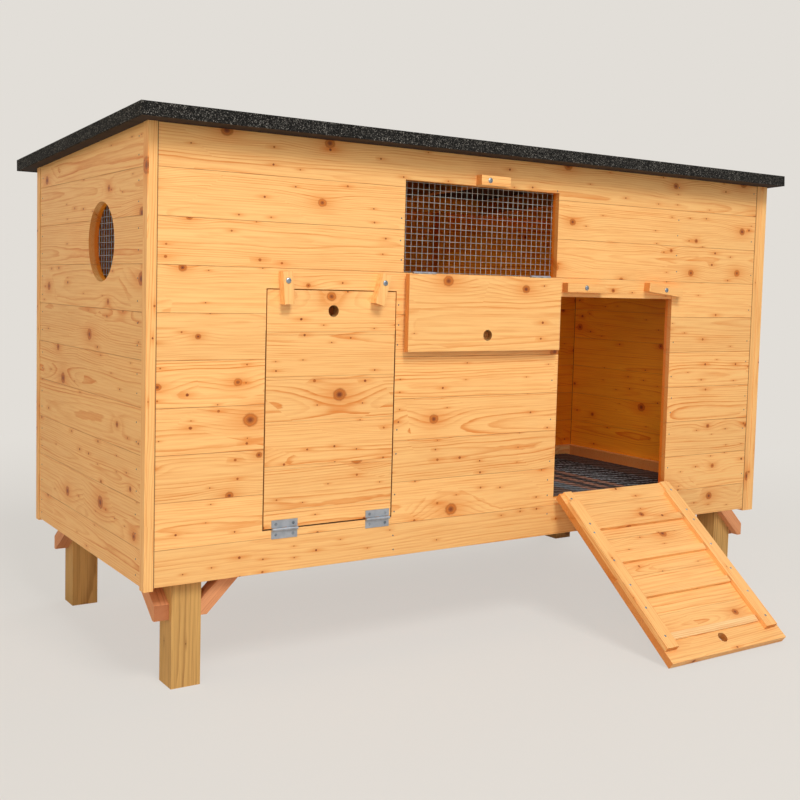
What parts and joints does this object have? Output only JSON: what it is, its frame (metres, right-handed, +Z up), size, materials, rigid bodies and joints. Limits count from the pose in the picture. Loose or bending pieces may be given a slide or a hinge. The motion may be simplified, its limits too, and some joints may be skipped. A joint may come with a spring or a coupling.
{
  "type": "goose house",
  "caption": "Boarded timber goose house on braced legs with a sloping felted roof, a drop-down hatch, a meshed window with a flap, a round window and a ramp that closes the doorway.",
  "frame": {"origin": "middle of the bounding box in X and Y, on the ground under the legs", "axes": "+X along the front wall to the right of someone who faces it, +Y from the front to the back, +Z up"},
  "size_m": [1.636, 1.1012, 1.0229],
  "materials": {
    "oiled_pine": "planed and oiled, satin",
    "frame_pine": "planed, matt",
    "treated_pine": "pressure treated, matt",
    "red_brace_wood": "planed, matt",
    "roofing_felt": "mineral, rough",
    "galvanised_steel": "galvanised",
    "mat": "woven, matt"
  },
  "bodies": {
    "house": {"corner_posts": "oiled_pine", "front_boards": "oiled_pine", "front_cut_boards": "oiled_pine", "front_head_board": "oiled_pine", "back_boards": "oiled_pine", "left_boards": "oiled_pine", "right_boards": "oiled_pine", "wall_battens": "frame_pine", "wall_plates": "frame_pine", "door_lath": "oiled_pine", "window_mesh": "galvanised_steel", "round_mesh": "galvanised_steel", "roof_rafters": "frame_pine", "roof_deck": "frame_pine", "roof_felt": "roofing_felt", "floor_frame": "frame_pine", "floor_boards": "oiled_pine", "skirting": "oiled_pine", "floor_mat": "mat", "leg_front_left": "treated_pine", "leg_front_right": "treated_pine", "leg_back_left": "treated_pine", "leg_back_right": "treated_pine", "side_brace_front_left": "red_brace_wood", "side_brace_front_right": "red_brace_wood", "side_brace_back_left": "red_brace_wood", "side_brace_back_right": "red_brace_wood", "long_brace_front_left": "red_brace_wood", "long_brace_front_right": "red_brace_wood", "long_brace_back_left": "red_brace_wood", "long_brace_back_right": "red_brace_wood", "hatch_hinge_frame_leaves": "galvanised_steel", "hatch_hinge_pins": "galvanised_steel", "flap_hinge_frame_leaves": "galvanised_steel", "flap_hinge_pins": "galvanised_steel", "ramp_hinge_frame_leaves": "galvanised_steel", "ramp_hinge_pins": "galvanised_steel", "frame_hinge_screws": "galvanised_steel", "button_screws": "galvanised_steel"},
    "hatch": {"hatch_boards": "oiled_pine", "hatch_grip_board": "oiled_pine", "hatch_ledges": "oiled_pine", "hatch_hinge_door_leaves": "galvanised_steel", "hatch_hinge_screws": "galvanised_steel"},
    "flap": {"flap_board": "oiled_pine", "flap_hinge_door_leaves": "galvanised_steel", "flap_hinge_screws": "galvanised_steel"},
    "ramp": {"ramp_boards": "oiled_pine", "ramp_grip_board": "oiled_pine", "ramp_rails": "oiled_pine", "ramp_cleats": "oiled_pine", "ramp_toe_cleat": "oiled_pine", "ramp_hinge_door_leaves": "galvanised_steel", "ramp_hinge_screws": "galvanised_steel"},
    "hatch_button_left": {"hatch_button_left_block": "oiled_pine"},
    "hatch_button_right": {"hatch_button_right_block": "oiled_pine"},
    "window_button": {"window_button_block": "oiled_pine"},
    "door_button_left": {"door_button_left_block": "oiled_pine"},
    "door_button_right": {"door_button_right_block": "oiled_pine"}
  },
  "joints": [
    {"name": "hatch_hinge", "type": "hinge", "parent": "house", "child": "hatch", "pos_m": [-0.422, -0.19403, 0.274], "axis": [1, 0, 0], "range_deg": [0, 125]},
    {"name": "flap_hinge", "type": "hinge", "parent": "house", "child": "flap", "pos_m": [-0.068, -0.19403, 0.757], "axis": [-1, 0, 0], "range_deg": [0, 180]},
    {"name": "ramp_hinge", "type": "hinge", "parent": "house", "child": "ramp", "pos_m": [0.316, -0.19403, 0.273], "axis": [-1, 0, 0], "range_deg": [0, 128.61]},
    {"name": "hatch_button_left_turn", "type": "hinge", "parent": "house", "child": "hatch_button_left", "pos_m": [-0.528, -0.20013, 0.735], "axis": [0, 1, 0], "continuous": true},
    {"name": "hatch_button_right_turn", "type": "hinge", "parent": "house", "child": "hatch_button_right", "pos_m": [-0.319, -0.20013, 0.735], "axis": [0, 1, 0], "continuous": true},
    {"name": "window_button_turn", "type": "hinge", "parent": "house", "child": "window_button", "pos_m": [-0.072, -0.20013, 0.949], "axis": [0, 1, 0], "range_deg": [0, 180]},
    {"name": "door_button_left_turn", "type": "hinge", "parent": "house", "child": "door_button_left", "pos_m": [0.203, -0.20013, 0.7365], "axis": [0, 1, 0], "continuous": true},
    {"name": "door_button_right_turn", "type": "hinge", "parent": "house", "child": "door_button_right", "pos_m": [0.451, -0.20013, 0.7365], "axis": [0, 1, 0], "continuous": true}
  ]
}
